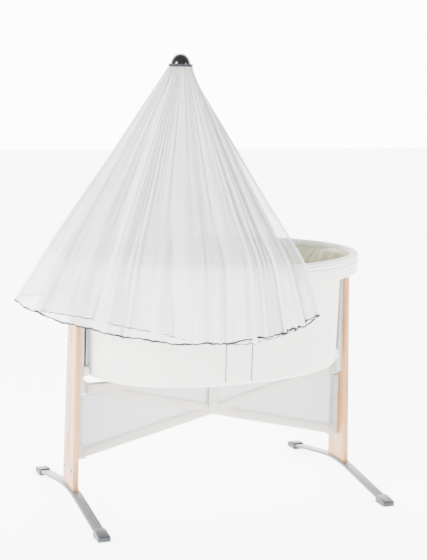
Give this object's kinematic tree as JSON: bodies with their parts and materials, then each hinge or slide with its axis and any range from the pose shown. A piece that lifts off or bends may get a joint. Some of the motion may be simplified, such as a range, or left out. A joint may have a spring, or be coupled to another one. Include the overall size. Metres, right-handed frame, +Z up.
{
  "type": "bassinet on stand",
  "caption": "Oval fabric bassinet hung between two wooden posts on sprung carriages, with a cross brace, a swing pivot and a sheer canopy on a clamped mast.",
  "frame": {"origin": "on the floor below the middle of the basket, halfway between the two posts", "axes": "+X along the basket to the right post, +Y to the back where the canopy mast stands, +Z up"},
  "size_m": [0.9186, 0.6756, 1.156],
  "materials": {
    "beech_wood": "clear lacquer",
    "steel_bar": "satin",
    "shoe_plastic": "moulded",
    "fastener_steel": "zinc",
    "cap_plastic": "moulded",
    "strut_steel": "satin",
    "bracket_plastic": "moulded",
    "mesh_fabric": "knitted mesh",
    "webbing_fabric": "woven",
    "housing_plastic": "moulded",
    "seat_plastic": "moulded",
    "spring_steel": "drawn",
    "stop_rubber": "soft",
    "slider_plastic": "moulded",
    "hanger_steel": "dark brown powder coat",
    "bush_plastic": "moulded",
    "hoop_aluminium": "satin",
    "board_wood": "raw",
    "mattress_fabric": "quilted",
    "sheet_fabric": "plain weave",
    "basket_fabric": "plain weave",
    "liner_fabric": "plain weave",
    "roll_fabric": "padded, plain weave",
    "piping_fabric": "corded",
    "clamp_plastic": "moulded",
    "mast_aluminium": "satin",
    "dome_plastic": "polished",
    "collar_fabric": "ruffled binding",
    "tulle_fabric": "sheer tulle",
    "binding_fabric": "woven binding"
  },
  "bodies": {
    "stand": {"post_left": "beech_wood", "post_right": "beech_wood", "foot_bar_left": "steel_bar", "foot_bar_right": "steel_bar", "foot_cap_front_left": "shoe_plastic", "foot_cap_front_right": "shoe_plastic", "foot_cap_back_left": "shoe_plastic", "foot_cap_back_right": "shoe_plastic", "foot_bolts": "fastener_steel", "barrel_nuts": "fastener_steel", "brace_strut_front": "strut_steel", "brace_strut_rear": "strut_steel", "brace_rivet": "fastener_steel", "brace_bracket_upper_left": "bracket_plastic", "brace_bracket_upper_right": "bracket_plastic", "brace_bracket_lower_left": "bracket_plastic", "brace_bracket_lower_right": "bracket_plastic", "bracket_screws": "fastener_steel", "screw_caps": "cap_plastic", "stand_mesh": "mesh_fabric", "panel_webbing": "webbing_fabric", "spring_housing_left": "housing_plastic", "spring_housing_right": "housing_plastic", "housing_screws": "fastener_steel", "spring_seat_left": "seat_plastic", "spring_seat_right": "seat_plastic", "spring_left": "spring_steel", "spring_right": "spring_steel", "swing_stop_left": "stop_rubber", "swing_stop_right": "stop_rubber"},
    "left_carriage": {"carriage_left": "slider_plastic", "pivot_pin_left": "fastener_steel"},
    "right_carriage": {"carriage_right": "slider_plastic", "pivot_pin_right": "fastener_steel"},
    "basket": {"rim_hoop": "hoop_aluminium", "hanger_left": "hanger_steel", "hanger_right": "hanger_steel", "pivot_bushes": "bush_plastic", "hanger_rivets": "fastener_steel", "hanger_bolts": "fastener_steel", "hanger_spacers": "bush_plastic", "bottom_hoop": "hoop_aluminium", "base_board": "board_wood", "mattress": "mattress_fabric", "mattress_sheet": "sheet_fabric", "basket_wall": "basket_fabric", "basket_liner": "liner_fabric", "rim_roll": "roll_fabric", "rim_skirt": "basket_fabric", "front_strip": "piping_fabric", "mast_clamp": "clamp_plastic"},
    "canopy": {"mast_lower": "mast_aluminium", "mast_ferrule": "clamp_plastic", "mast_upper": "mast_aluminium", "canopy_ring": "clamp_plastic", "canopy_dome": "dome_plastic", "canopy_collar": "collar_fabric", "canopy_cloth": "tulle_fabric", "canopy_hem": "binding_fabric"},
    "knob": {"clamp_knob": "clamp_plastic"}
  },
  "joints": [
    {"name": "bounce_left", "type": "slide", "parent": "stand", "child": "left_carriage", "axis": [0, 0, 1], "range_m": [-0.008, 0.008], "stiffness_N_per_m": 9000, "springref_m": 0.00745, "deforming": ["spring_left"]},
    {"name": "bounce_right", "type": "slide", "parent": "stand", "child": "right_carriage", "axis": [0, 0, 1], "range_m": [-0.008, 0.008], "deforming": ["spring_right"]},
    {"name": "swing", "type": "hinge", "parent": "left_carriage", "child": "basket", "pos_m": [-0.361, 0, 0.566], "axis": [1, 0, 0], "range_deg": [-5, 5]},
    {"name": "canopy_height", "type": "slide", "parent": "basket", "child": "canopy", "axis": [0, 0, 1], "range_m": [0, 0.06]},
    {"name": "knob_turn", "type": "hinge", "parent": "basket", "child": "knob", "pos_m": [0, 0.302, 0.616], "axis": [0, 1, 0], "range_deg": [0, 360]}
  ],
  "couplings": [
    {"joint": "bounce_right", "follows": "bounce_left", "ratio": 1}
  ]
}
